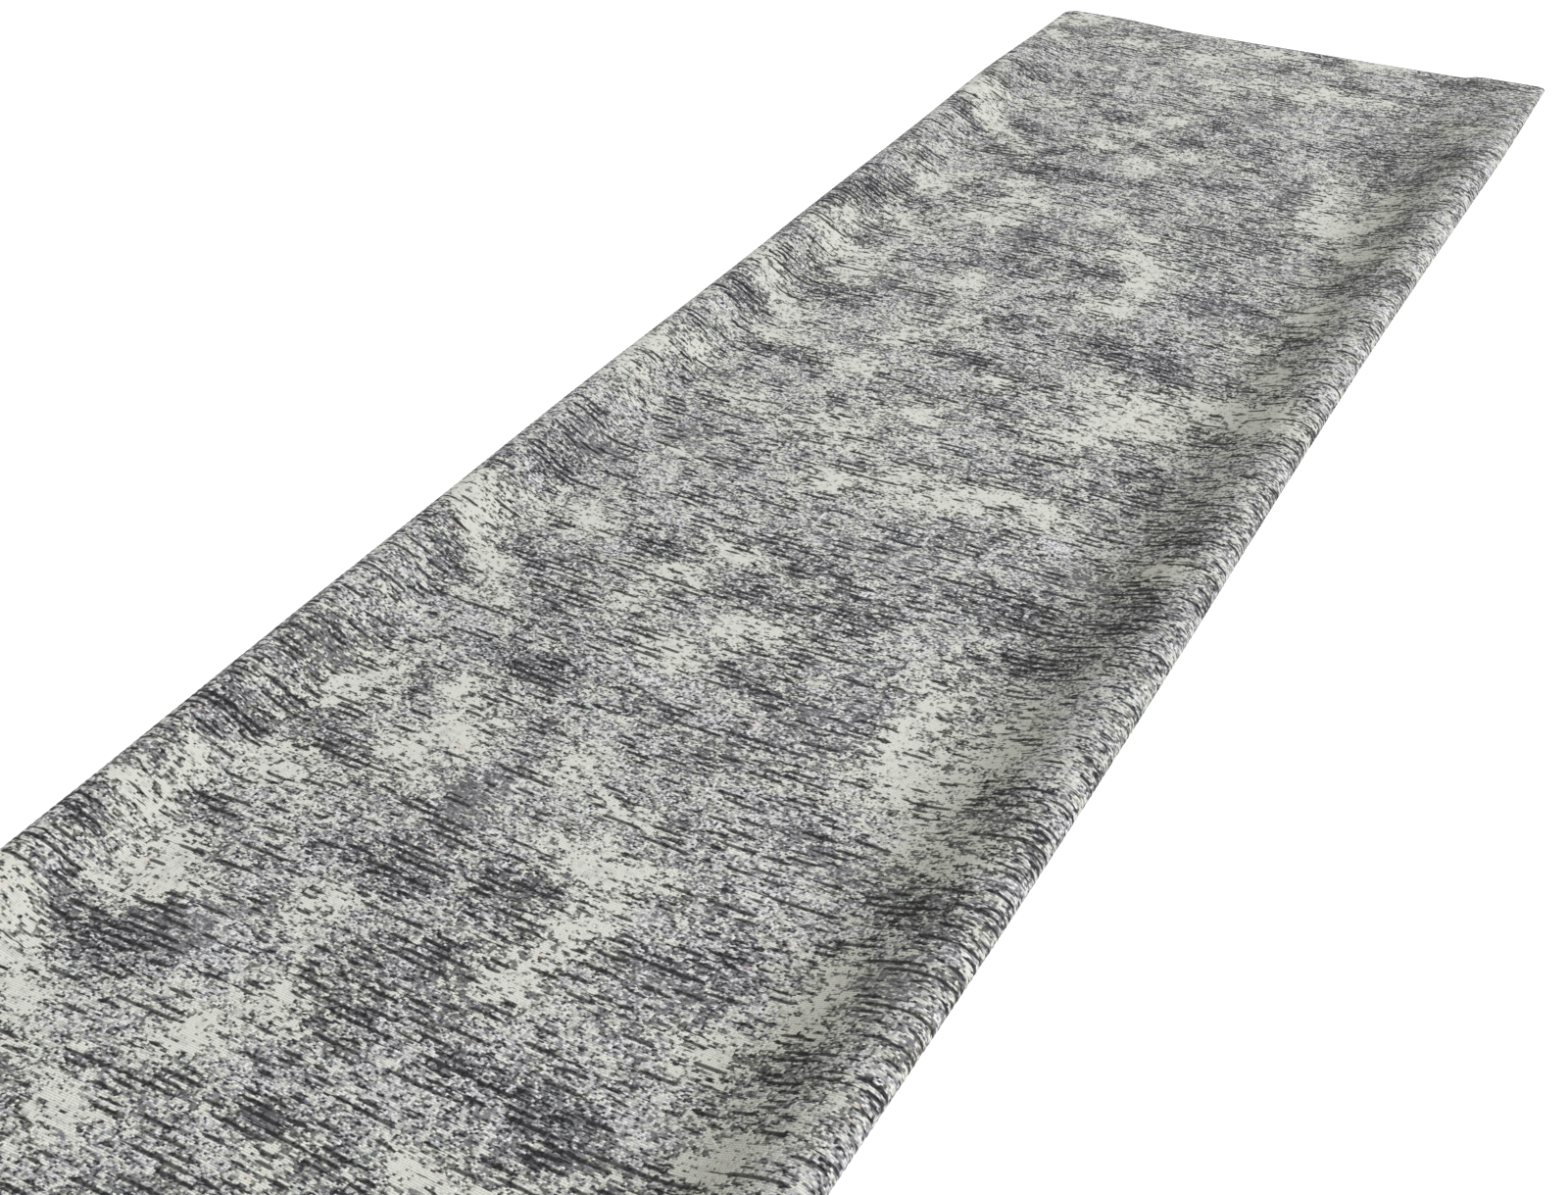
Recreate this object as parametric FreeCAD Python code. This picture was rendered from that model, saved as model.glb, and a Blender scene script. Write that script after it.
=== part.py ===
import FreeCAD, Part
import math
import os

from FreeCAD import Vector

# A runner rug lying flat, with both long sides turned under in a soft round fold.
# Millimetres. X runs across the rug, Y along it, Z up. The origin is on the floor under the middle.

# Overall sizes
rug_width = 800.0  # from the outside of one fold to the outside of the other
rug_length = 3000.0  # end to end

# The cloth's layers, from the face down to the back
loop_thickness = 2.8
ground_thickness = 0.6
latex_thickness = 0.6
scrim_thickness = 1.0

# The side folds. Widths and places are measured inwards from the fold's outermost line, heights from the floor.
left_flap_width = 75.0
left_crest_place = 22.0
left_fold_height = 35.0
left_lean = 1.2  # over 1, the slope gets steeper towards the crest
right_flap_width = 100.0
right_crest_place = 24.0
right_fold_height = 33.0
right_lean = 1.35
tack_gap = 1.0  # between a flap and the cloth above it, at the flap's edge

# Towards each end the folds are pressed flat
pressed_length = 10.0  # the stretch at each end that is pressed all over
taper_length = 450.0  # from there to the full fold
pressed_gap = 0.6  # between the flap and the cloth above it, where pressed
pressed_slope = 25.0  # the width of the step from the field up onto the flap, where pressed
step_clearance = 1.0  # between that step and the flap's edge

# Yarn whipped over the cut edges
whip_width = 4.0  # on the cloth's face and back
whip_cap = 0.8  # over the cut edge itself

# Thread tacks between each flap and the back of the rug
tack_diameter = 1.2
tack_clearance = 0.05  # under the back of the rug
tack_pitch = 50.0

# Care label on the back, sewn along its two short sides
label_width = 60.0
label_length = 40.0
label_thickness = 0.3
label_clearance = 0.2
label_end_distance = 120.0  # from the near end to the label's middle
label_side_distance = 190.0  # from the right fold to the label's middle
stitch_length = 3.0
stitch_width = 0.6
stitch_thickness = 0.3
stitch_pitch = 5.0
stitch_inset = 3.0  # from the label's short side to the row of stitches

# How finely the curves are drawn
slope_steps = 32
nose_steps = 12
taper_steps = 3

# Worked out from the sizes above
cloth_thickness = loop_thickness + ground_thickness + latex_thickness + scrim_thickness
half_cloth = cloth_thickness / 2
half_width = rug_width / 2
half_length = rug_length / 2
ground_depth = loop_thickness
latex_depth = ground_depth + ground_thickness
scrim_depth = latex_depth + latex_thickness
whip_reach = whip_width + whip_cap
pressed_rise = cloth_thickness + pressed_gap
full_fold_end = half_length - pressed_length - taper_length


def ease(share):
    """A smooth step from 0 to 1."""
    share = min(max(share, 0.0), 1.0)
    return share * share * (3 - 2 * share)


class Fold:
    """One side of the rug. A place is a distance inwards from the fold's outermost line."""

    def __init__(self, hand, flap_width, crest_place, fold_height, lean):
        self.hand = hand  # -1 on the left, 1 on the right
        self.flap_width = flap_width
        self.crest_place = crest_place
        self.full_rise = fold_height - cloth_thickness
        self.lean = lean
        # the full slope starts where it will pass over the flap's edge with tack_gap to spare
        height_share = (cloth_thickness + tack_gap) / self.full_rise
        run_share = (math.asin(math.sqrt(height_share)) * 2 / math.pi) ** (1 / lean)
        self.full_foot = (flap_width - run_share * crest_place) / (1 - run_share)
        self.step_top = flap_width + step_clearance
        self.foot = max(self.full_foot, self.step_top + pressed_slope)

    def x(self, place):
        return self.hand * (half_width - place)

    def crest(self, fullness):
        pressed_crest = half_cloth + pressed_rise / 2
        return pressed_crest + fullness * (self.crest_place - pressed_crest)

    def rise(self, place, fullness):
        """How far the cloth stands above the flat field, between the foot and the crest."""
        run = (self.full_foot - place) / (self.full_foot - self.crest_place)
        run = min(max(run, 0.0), 1.0)
        full = self.full_rise * math.sin(math.pi / 2 * run**self.lean) ** 2
        pressed = pressed_rise * ease((self.step_top + pressed_slope - place) / pressed_slope)
        return pressed + fullness * (full - pressed)

    def slope(self, fullness):
        """The cloth's middle from the foot up to the crest, as (place, height)."""
        run = self.crest(fullness) - self.foot
        places = [self.foot + run * i / slope_steps for i in range(slope_steps + 1)]
        return [(place, half_cloth + self.rise(place, fullness)) for place in places]

    def nose(self, fullness):
        """The cloth's middle from the crest round to the flap: half an ellipse."""
        crest = self.crest(fullness)
        reach = crest - half_cloth
        drop = self.rise(crest, fullness) / 2
        angles = [math.pi * (0.5 - i / nose_steps) for i in range(nose_steps + 1)]
        return [(crest - reach * math.cos(a), half_cloth + drop + drop * math.sin(a)) for a in angles]


left_fold = Fold(-1, left_flap_width, left_crest_place, left_fold_height, left_lean)
right_fold = Fold(1, right_flap_width, right_crest_place, right_fold_height, right_lean)


def fullness_at(y):
    """1 where the folds are full, 0 where they are pressed flat."""
    return ease((half_length - pressed_length - abs(y)) / taper_length)


def offset(points, distance):
    """The same line, moved towards the cloth's face. Both ends of the line are level."""
    moved = []
    for i, (place, height) in enumerate(points):
        before = points[max(i - 1, 0)]
        after = points[min(i + 1, len(points) - 1)]
        across = after[0] - before[0]
        up = after[1] - before[1]
        if i == 0 or i == len(points) - 1:
            up = 0.0
        size = math.hypot(across, up)
        moved.append((place + distance * up / size, height - distance * across / size))
    return moved


def nose_offset(points, distance):
    """The same for a nose, whose last point faces the floor."""
    moved = offset(points, distance)
    place, height = points[-1]
    moved[-1] = (place, height - distance)
    return moved


def curve(fold, points, y, last_way):
    """A smooth edge through the points, level at both ends: it starts outwards, and ends last_way."""
    outwards = Vector(fold.hand, 0, 0)
    spline = Part.BSplineCurve()
    spline.interpolate(
        Points=[Vector(fold.x(place), y, height) for place, height in points],
        InitialTangent=outwards,
        FinalTangent=outwards * last_way,
    )
    return spline.toShape()


def side_edges(fold, y, depth, inset):
    """A side's slope, nose and flap, at a depth under the face. The flap stops inset short of its edge."""
    fullness = fullness_at(y)
    to_face = half_cloth - depth
    slope = offset(fold.slope(fullness), to_face)
    nose = nose_offset(fold.nose(fullness), to_face)
    flap_start = Vector(fold.x(nose[-1][0]), y, depth)
    flap_end = Vector(fold.x(fold.flap_width - inset), y, depth)
    return [curve(fold, slope, y, 1), curve(fold, nose, y, -1), Part.makeLine(flap_start, flap_end)]


def outline(y, top_depth, bottom_depth, inset):
    """The edges round one layer's cross-section at y."""
    edges = []
    for depth in (top_depth, bottom_depth):
        height = cloth_thickness - depth
        field_left = Vector(left_fold.x(left_fold.foot), y, height)
        field_right = Vector(right_fold.x(right_fold.foot), y, height)
        edges += side_edges(left_fold, y, depth, inset)
        edges.append(Part.makeLine(field_left, field_right))
        edges += side_edges(right_fold, y, depth, inset)
    for fold in (left_fold, right_fold):
        x = fold.x(fold.flap_width - inset)
        edges.append(Part.makeLine(Vector(x, y, top_depth), Vector(x, y, bottom_depth)))
    return edges


def strip(near, far):
    """The surface between one edge of a cross-section and the same edge of the next."""
    if near.Curve.TypeId != "Part::GeomLine":
        return Part.makeRuledSurface(near, far)
    corners = [near.Vertexes[0], near.Vertexes[1], far.Vertexes[1], far.Vertexes[0], near.Vertexes[0]]
    return Part.Face(Part.makePolygon([corner.Point for corner in corners]))


def closed_solid(faces):
    shell = Part.Shell(faces)
    shell.sewShape()
    solid = Part.Solid(shell)
    if solid.Volume < 0:
        solid.reverse()
    return solid


def skin(places, top_depth, bottom_depth, inset):
    """A solid between two depths in the cloth, through cross-sections at these places along the rug."""
    outlines = [outline(y, top_depth, bottom_depth, inset) for y in places]
    faces = [Part.Face(Part.Wire(Part.__sortEdges__(edges))) for edges in (outlines[0], outlines[-1])]
    for near, far in zip(outlines, outlines[1:]):
        faces += [strip(a, b) for a, b in zip(near, far)]
    return closed_solid(faces)


def layer(top_depth, bottom_depth, setback):
    """One layer of the cloth, which stops setback short of every cut edge."""
    halves = [half_length - setback, half_length - pressed_length]
    for i in range(taper_steps):
        halves.append(half_length - pressed_length - taper_length * (i + 1) / taper_steps)
    places = [-y for y in halves] + halves[::-1]
    return skin(places, top_depth, bottom_depth, setback)


def end_whipping(hand):
    """Yarn round the cut edge at one end: -1 is the near end, 1 the far one."""
    inner_end = half_length - whip_reach
    yarn = skin([hand * inner_end, hand * half_length], 0.0, cloth_thickness, 0.0)
    covered = skin([hand * inner_end, hand * (half_length - whip_cap)], ground_depth, scrim_depth, whip_cap)
    return yarn.cut(covered)


def box(x_range, y_range, z_range):
    low = Vector(min(x_range), min(y_range), min(z_range))
    sizes = [max(values) - min(values) for values in (x_range, y_range, z_range)]
    return Part.makeBox(*sizes, low)


def flap_whipping(fold):
    """Yarn round the long cut edge of one flap, between the two end whippings."""
    run = (whip_reach - half_length, half_length - whip_reach)
    inner = fold.x(fold.flap_width - whip_reach)
    yarn = box((inner, fold.x(fold.flap_width)), run, (0.0, cloth_thickness))
    covered = box((inner, fold.x(fold.flap_width - whip_cap)), run, (ground_depth, scrim_depth))
    return yarn.cut(covered)


def back_height(fold, place):
    """The height of the rug's back over the floor, at a place on the full slope."""
    back = offset(fold.slope(1.0), -half_cloth)
    for (inner, low), (outer, high) in zip(back, back[1:]):
        if outer <= place <= inner:
            return low + (high - low) * (inner - place) / (inner - outer)


def hem_tacks(fold):
    """Short threads from the flap's whipped edge up to the back of the rug, along the full fold."""
    place = fold.flap_width - whip_reach / 2
    height = back_height(fold, place + tack_diameter / 2) - cloth_thickness - tack_clearance
    count = int(2 * full_fold_end / tack_pitch) + 1
    first = -tack_pitch * (count - 1) / 2
    feet = [Vector(fold.x(place), first + tack_pitch * i, cloth_thickness) for i in range(count)]
    return Part.Compound([Part.makeCylinder(tack_diameter / 2, height, foot) for foot in feet])


label_x = right_fold.x(label_side_distance)
label_y = label_end_distance - half_length
label_top = stitch_thickness + label_thickness


def label_block(margin, bottom, top):
    half_x = label_width / 2 + margin
    half_y = label_length / 2 + margin
    return box((label_x - half_x, label_x + half_x), (label_y - half_y, label_y + half_y), (bottom, top))


def backing_scrim():
    """The woven back, pressed in where the label lies."""
    return layer(scrim_depth, cloth_thickness, whip_reach).cut(label_block(label_clearance, 0.0, label_top))


def label_stitches():
    """Two rows of stitches, one along each short side of the label."""
    count = int((label_length - stitch_length) / stitch_pitch) + 1
    first = label_y - stitch_pitch * (count - 1) / 2
    stitches = []
    for side in (-1, 1):
        x = label_x + side * (label_width / 2 - stitch_inset)
        for i in range(count):
            y = first + stitch_pitch * i
            x_range = (x - stitch_width / 2, x + stitch_width / 2)
            y_range = (y - stitch_length / 2, y + stitch_length / 2)
            stitches.append(box(x_range, y_range, (0.0, stitch_thickness)))
    return Part.Compound(stitches)


nodes = {
    "loop_face": layer(0.0, ground_depth, whip_reach),
    "ground_cloth": layer(ground_depth, latex_depth, whip_cap),
    "latex_coat": layer(latex_depth, scrim_depth, whip_cap),
    "backing_scrim": backing_scrim(),
    "end_whipping_near": end_whipping(-1),
    "end_whipping_far": end_whipping(1),
    "flap_whipping_left": flap_whipping(left_fold),
    "flap_whipping_right": flap_whipping(right_fold),
    "hem_tacks_left": hem_tacks(left_fold),
    "hem_tacks_right": hem_tacks(right_fold),
    "care_label": label_block(0.0, stitch_thickness, label_top),
    "care_label_stitches": label_stitches(),
}

os.makedirs("parts", exist_ok=True)
for name, shape in nodes.items():
    shape.exportStep("parts/" + name + ".step")
    print(name, len(shape.Solids), round(shape.Volume, 1), shape.isValid())
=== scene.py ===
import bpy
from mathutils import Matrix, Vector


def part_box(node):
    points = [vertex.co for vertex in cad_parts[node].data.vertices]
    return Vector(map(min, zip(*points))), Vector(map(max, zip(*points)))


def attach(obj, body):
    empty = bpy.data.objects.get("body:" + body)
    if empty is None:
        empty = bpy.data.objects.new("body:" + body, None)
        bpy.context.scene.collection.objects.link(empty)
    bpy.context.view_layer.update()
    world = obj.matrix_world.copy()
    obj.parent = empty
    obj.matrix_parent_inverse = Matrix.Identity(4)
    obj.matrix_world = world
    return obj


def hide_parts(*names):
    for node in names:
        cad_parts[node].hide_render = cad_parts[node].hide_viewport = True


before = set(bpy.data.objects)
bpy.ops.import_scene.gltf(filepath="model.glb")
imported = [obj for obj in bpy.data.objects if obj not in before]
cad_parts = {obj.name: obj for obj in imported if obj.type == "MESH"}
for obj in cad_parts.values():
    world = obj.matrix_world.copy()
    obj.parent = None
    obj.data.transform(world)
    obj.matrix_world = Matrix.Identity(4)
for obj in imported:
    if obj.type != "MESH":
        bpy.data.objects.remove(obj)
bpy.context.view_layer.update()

import bpy
import numpy as np
from mathutils import Vector

print("frame loaded")

mm = 0.001

# the cloth and how it lies: places are measured inwards from a fold's outermost line

rug = {
    "halfWidth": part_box("loop_face")[1][0],
    "halfLength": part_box("end_whipping_far")[1][1],
    "cloth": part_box("flap_whipping_right")[1][2],  # all four layers together
    "groundDepth": 2.8 * mm,  # from the face down to the top of each layer
    "latexDepth": 3.4 * mm,
    "scrimDepth": 4.0 * mm,
    "whipReach": 4.8 * mm,  # how far the yarn reaches in from a cut edge
    "whipCap": 0.8 * mm,  # yarn over the cut edge itself
    "pressedGap": 0.6 * mm,  # between flap and field where the fold is pressed flat
    "pressedLength": 10 * mm,
    "taper": 450 * mm,  # pressed at the ends, full this much further in
    "stepClearance": 1 * mm,
}

# swell and drift are slow irregularities: (size, waves along the rug, phase)
leftSide = {
    "hand": -1, "flap": 75 * mm, "crest": 22 * mm, "height": 35 * mm, "lean": 1.2,
    "pressedSlope": 150 * mm, "corner": 20 * mm,
    "swell": [(0.05, 2.3, 0.4), (0.03, 5.1, 2.0)],
    "drift": [(3.4 * mm, 1.3, -0.7), (1.2 * mm, 2.8, 0.1)],
}
rightSide = {
    "hand": 1, "flap": 100 * mm, "crest": 24 * mm, "height": 33 * mm, "lean": 1.35,
    "pressedSlope": 25 * mm, "corner": 6 * mm,
    "swell": [(0.05, 1.9, 2.6), (0.03, 6.3, 0.9)],
    "drift": [(4.3 * mm, 1.5, 0.1), (4.6 * mm, 0.36, 2.9)],
}

columns = {"flap": 3, "nose": 10, "slope": 13, "field": 32}  # grid columns of each stretch
slopeCrowding = 1.4  # above 1 the slope's columns crowd towards the crest

halfCloth = rug["cloth"] / 2
pressedRise = rug["cloth"] + rug["pressedGap"]


def ease(share):
    # a smooth step: 3 s^2 - 2 s^3 with s held between 0 and 1
    share = np.clip(share, 0.0, 1.0)
    return share * share * (3 - 2 * share)


def waves(parts, along):
    # a sum of sines along the rug
    turns = 2 * np.pi * along / (2 * rug["halfLength"])
    return sum(size * np.sin(count * turns + phase) for size, count, phase in parts)


def fullnessAt(along):
    # 1 where the side folds are full, 0 where they are pressed flat: the ease of the way in over the taper
    return ease((rug["halfLength"] - rug["pressedLength"] - np.abs(along)) / rug["taper"])


def footOf(side):
    # the full slope is laid so that it clears the flap's edge: the height it needs there, as a share of
    # its rise, is a sine squared, so the share of its run is an arcsine of a square root
    heightShare = (rug["cloth"] + rug["stepClearance"]) / (side["height"] - rug["cloth"])
    runShare = (np.arcsin(np.sqrt(heightShare)) * 2 / np.pi) ** (1 / side["lean"])
    return (side["flap"] - runShare * side["crest"]) / (1 - runShare)


def riseOf(side, place, full, along):
    # height over the flat field: a leaning sine-squared slope where full, a low step where pressed
    foot = footOf(side)
    run = np.clip((foot - place) / (foot - side["crest"]), 0.0, 1.0)
    tall = (side["height"] - rug["cloth"]) * (1 + waves(side["swell"], along))
    tall = tall * np.sin(np.pi / 2 * run ** side["lean"]) ** 2
    stepTop = side["flap"] + rug["stepClearance"]
    pressed = pressedRise * ease((stepTop + side["pressedSlope"] - place) / side["pressedSlope"])
    return pressed + full * (tall - pressed)


def cornerInset(side, along):
    # a quarter circle takes the fold's outermost line inwards at the rug's corner
    over = np.clip(np.abs(along) - (rug["halfLength"] - side["corner"]), 0.0, side["corner"])
    return side["corner"] - np.sqrt(side["corner"] ** 2 - over ** 2)


def sideLine(side, along, inset):
    # the cloth's middle from the flap's edge round the nose and down the slope, one row per along
    rows = along[:, None]
    full = fullnessAt(rows)
    pressedCrest = halfCloth + pressedRise / 2
    crest = pressedCrest + full * (side["crest"] - pressedCrest)
    drop = riseOf(side, crest, full, rows) / 2
    flapEdge = side["flap"] - inset
    share = np.linspace(0, 1, columns["flap"] + 1)[None, :-1]
    flap = flapEdge + (crest - flapEdge) * share
    # the nose is half an ellipse from the floor up to the crest
    turn = np.linspace(-np.pi / 2, np.pi / 2, columns["nose"] + 1)[None, :-1]
    nose = crest - (crest - halfCloth) * np.cos(turn)
    noseHeight = halfCloth + drop + drop * np.sin(turn)
    foot = max(footOf(side), side["flap"] + rug["stepClearance"] + side["pressedSlope"])
    share = np.linspace(0, 1, columns["slope"] + 1)[None, :] ** slopeCrowding
    slope = crest + (foot - crest) * share
    slopeHeight = halfCloth + riseOf(side, slope, full, rows)
    place = np.concatenate([flap, nose, slope], axis=1)
    height = np.concatenate([halfCloth + 0 * flap, noseHeight, slopeHeight], axis=1)
    # drift and corner fade out towards the foot, so that the field stays still
    shift = full * waves(side["drift"], rows) + cornerInset(side, rows)
    x = side["hand"] * (rug["halfWidth"] - place - ease(1 - place / foot) * shift)
    return x, height


def clothMiddle(along, inset):
    # the whole cross-section, from the left flap's edge to the right one: x, z and the flat place across
    leftX, leftZ = sideLine(leftSide, along, inset)
    rightX, rightZ = sideLine(rightSide, along, inset)
    share = np.linspace(0, 1, columns["field"] + 1)[None, 1:-1]
    fieldX = leftX[:, -1:] + (rightX[:, -1:] - leftX[:, -1:]) * share
    x = np.concatenate([leftX, fieldX, rightX[:, ::-1]], axis=1)
    z = np.concatenate([leftZ, halfCloth + 0 * fieldX, rightZ[:, ::-1]], axis=1)
    step = np.hypot(np.diff(x, axis=1), np.diff(z, axis=1))
    across = np.concatenate([np.zeros((len(along), 1)), np.cumsum(step, axis=1)], axis=1)
    middle = across.shape[1] // 2
    return x, z, across + (x[:, middle] - across[:, middle])[:, None]


def faceNormal(x, z):
    # the way to the cloth's face: the cross-section's direction turned a quarter left
    dx = np.gradient(x, axis=1)
    dz = np.gradient(z, axis=1)
    size = np.hypot(dx, dz)
    return -dz / size, dx / size


weftDrift = {"skew": -0.02, "bow": 5 * mm, "across": 700 * mm, "along": 1900 * mm, "fade": 300 * mm}


def weftShift(x, along):
    # the weft isn't dead straight: y moves by a slight skew and a bow, and not at all at the ends
    turns = 2 * np.pi * (x / weftDrift["across"] + along / weftDrift["along"])
    fade = ease((rug["halfLength"] - np.abs(along)) / weftDrift["fade"])
    return fade * (weftDrift["skew"] * x + weftDrift["bow"] * np.sin(turns))


def clothSurface(along, depth, inset):
    # a surface at this depth under the face (a number or one per point), with its flat coordinates:
    # the cloth's middle moved along the way to the face by half the cloth less the depth
    x, z, across = clothMiddle(along, inset)
    nx, nz = faceNormal(x, z)
    lift = halfCloth - depth
    rows = along[:, None]
    points = np.stack([x + lift * nx, rows + weftShift(x, rows), z + lift * nz], axis=-1)
    return points, np.stack([across, np.broadcast_to(rows, across.shape)], axis=-1)


def makeMesh(name, points, faces, flat):
    mesh = bpy.data.meshes.new(name)
    mesh.from_pydata(points.tolist(), [], faces)
    mesh.polygons.foreach_set("use_smooth", np.ones(len(mesh.polygons), dtype=bool))
    corners = np.empty(len(mesh.loops), dtype=np.int32)
    mesh.loops.foreach_get("vertex_index", corners)
    layer = mesh.uv_layers.new(name="cloth")
    layer.data.foreach_set("uv", flat[corners].astype(np.float32).ravel())
    mesh.update()
    piece = bpy.data.objects.new(name, mesh)
    bpy.context.scene.collection.objects.link(piece)
    return piece


def gridFaces(rows, cols, start, flip):
    # the quads of a grid whose points start at this index
    r, c = np.meshgrid(np.arange(rows - 1), np.arange(cols - 1), indexing="ij")
    a = start + r * cols + c
    quads = np.stack([a, a + 1, a + cols + 1, a + cols], axis=-1).reshape(-1, 4)
    return quads[:, ::-1] if flip else quads


def closedSheet(name, face, faceFlat, back, backFlat, skip=1):
    # face grid, back grid with one row for every skip face rows, and a wall all round
    rows, cols = face.shape[:2]
    backRows = back.shape[0]
    points = np.concatenate([face.reshape(-1, 3), back.reshape(-1, 3)])
    flat = np.concatenate([faceFlat.reshape(-1, 2), backFlat.reshape(-1, 2)])
    base = rows * cols
    faces = gridFaces(rows, cols, 0, False).tolist() + gridFaces(backRows, cols, base, True).tolist()
    for i in range(backRows - 1):
        walk = np.arange(i * skip, (i + 1) * skip + 1) * cols
        near, far = base + i * cols, base + (i + 1) * cols
        faces.append(walk.tolist() + [far, near])
        faces.append([near + cols - 1, far + cols - 1] + (walk + cols - 1).tolist()[::-1])
    for c in range(cols - 1):
        faces.append([c, base + c, base + c + 1, c + 1])
        top, low = base - cols + c, base + (backRows - 1) * cols + c
        faces.append([top + 1, low + 1, low, top])
    return makeMesh(name, points, faces, flat)


def ringFaces(rings, sides, start=0, flip=False):
    # the quads between the rings of one tube whose points start at this index, and its two end faces
    i, j = np.meshgrid(np.arange(rings - 1), np.arange(sides), indexing="ij")
    a = start + i * sides + j
    b = start + i * sides + (j + 1) % sides
    corners = [a, a + sides, b + sides, b] if flip else [a, b, b + sides, a + sides]
    quads = np.stack(corners, axis=-1).reshape(-1, 4).tolist()
    last = start + (rings - 1) * sides
    nearEnd, farEnd = list(range(start, start + sides)), list(range(last, last + sides))
    return quads + ([nearEnd, farEnd[::-1]] if flip else [nearEnd[::-1], farEnd])


def yarnTube(name, path, radius, sides, across):
    # a round yarn: a ring of this radius square to the path at each of its points; across gives, per
    # point, the direction that the ring starts from
    ahead = np.gradient(path, axis=0)
    ahead /= np.linalg.norm(ahead, axis=1, keepdims=True)
    across = across - (across * ahead).sum(1, keepdims=True) * ahead
    across /= np.linalg.norm(across, axis=1, keepdims=True)
    up = np.cross(ahead, across)
    angle = 2 * np.pi * np.arange(sides) / sides
    ring = np.cos(angle)[None, :, None] * across[:, None] + np.sin(angle)[None, :, None] * up[:, None]
    points = (path[:, None] + radius * ring).reshape(-1, 3)
    run = np.concatenate([[0], np.cumsum(np.linalg.norm(np.diff(path, axis=0), axis=1))])
    flat = np.stack(np.broadcast_arrays(angle[None, :] * radius, run[:, None]), axis=-1).reshape(-1, 2)
    return makeMesh(name, points, ringFaces(len(path), sides), flat)


# the dye: one repeat of the pattern, in hundredths of the rug's width, across from the left line
# and along from the far end, as (across, along, half width, half length, turn in degrees)

ivoryPatches = [
    (10, 66, 13, 3, 41), (18, 52, 5, 3, 0), (35, 58, 5, 3, 0), (44, 73, 5, 3, 20), (51, 64, 5, 3, 0),
    (33, 66, 3, 3, 0), (3, 57, 5, 4, 0), (77, 70, 3, 12, 0), (88, 71, 3, 7, 0), (82, 82, 7, 5, 0),
    (90, 94, 5, 4, 0), (64, 21, 5, 3, 0), (51, 22, 3, 3, 0), (58, 26, 5, 3, 0), (73, 22, 4, 3, 0),
    (43, 27, 4, 3, 0), (14, 97, 5, 6, 0), (25, 91, 3, 3, 0), (30, 98, 4, 4, 0), (28, 107, 5, 4, 0),
    (45, 97, 3, 3, 30), (54, 102, 3, 2, 0), (57, 111, 7, 3, 0), (60, 120, 3, 5, 0), (58, 130, 4, 4, 0),
    (88, 119, 3, 7, 0), (82, 130, 4, 3, 0), (89, 142, 3, 5, 0), (16, 115, 6, 3, 30), (7, 120, 3, 3, 0),
    (8, 128, 7, 3, 15), (15, 136, 5, 5, 0), (34, 132, 3, 4, 0), (40, 144, 4, 4, 0), (34, 153, 4, 4, 0),
    (10, 151, 14, 3, 42), (86, 153, 8, 3, 10), (76, 162, 8, 7, 0), (93, 159, 5, 4, 20),
    (15, 163, 5, 2, 20), (30, 166, 4, 3, 30), (52, 161, 3, 3, 0), (65, 155, 3, 3, 0),
    (21, 12, 4, 3, 0), (4, 18, 3, 3, 0), (45, 5, 5, 3, 0), (36, 14, 6, 4, 0), (2, 9, 3, 4, 0),
    (66, 2, 5, 3, 0), (8, 4, 4, 3, 30), (20, 30, 3, 2, 0), (92, 31, 4, 3, 0), (40, 50, 4, 3, 0),
]
darkPatches = [
    (8, 42, 4, 6, 0), (82, 6, 5, 3, 0), (60, 4, 3, 2, 0), (68, 16, 3, 2, 0), (46, 57, 4, 3, 20),
    (61, 56, 4, 4, 0), (50, 47, 3, 3, 30), (31, 53, 4, 4, 0), (17, 65, 6, 2, 30), (8, 70, 7, 2, 40),
    (26, 75, 2, 3, 0), (34, 82, 9, 2, -4), (28, 85, 5, 2, 0), (71, 74, 3, 6, 0), (57, 75, 6, 2, 0),
    (20, 95, 3, 4, -30), (75, 96, 4, 3, 30), (14, 106, 6, 2, 30), (4, 111, 5, 3, 0), (37, 109, 3, 6, 0),
    (2, 120, 3, 2, 0), (12, 125, 3, 3, 0), (36, 123, 8, 3, 0), (52, 118, 4, 3, 0), (74, 120, 6, 5, 0),
    (88, 128, 4, 3, -30), (2, 133, 3, 3, 0), (50, 131, 2, 3, 0), (15, 145, 5, 4, 0), (22, 144, 3, 4, 0),
    (45, 142, 5, 4, 0), (65, 143, 8, 3, 0), (74, 146, 3, 5, 0), (47, 157, 4, 2, 0), (57, 159, 4, 2, 0),
    (8, 158, 8, 2, 42), (19, 167, 6, 2, 0), (56, 167, 4, 3, 0), (88, 163, 5, 3, 0), (93, 24, 4, 5, 0),
    (78, 46, 6, 5, 0), (93, 44, 4, 6, 0), (84, 57, 5, 4, 0), (92, 104, 4, 6, 0), (92, 83, 3, 4, 0),
]
plainPatches = [
    (70, 73, 5, 6, 0), (39, 107, 5, 6, 0), (79, 37, 6, 4, 0), (22, 28, 7, 4, 0), (74, 123, 5, 4, 0),
    (56, 41, 6, 3, 0), (78, 99, 5, 3, 0), (26, 140, 5, 4, 0), (10, 36, 5, 3, 0), (93, 114, 4, 5, 0),
]
patternRepeat = 1.705  # of the rug's width
patchFall = 0.8  # how fast a patch fades outwards
# painted shade on the right-hand slope, in from the right line: where it starts, how far it takes to rise,
# where it ends, how far it takes to fall, and what share of it is left where the fold is pressed
paintedSlopeShade = {"start": -5 * mm, "rise": 70 * mm, "end": 200 * mm, "fall": 130 * mm, "pressed": 0.4}


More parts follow.
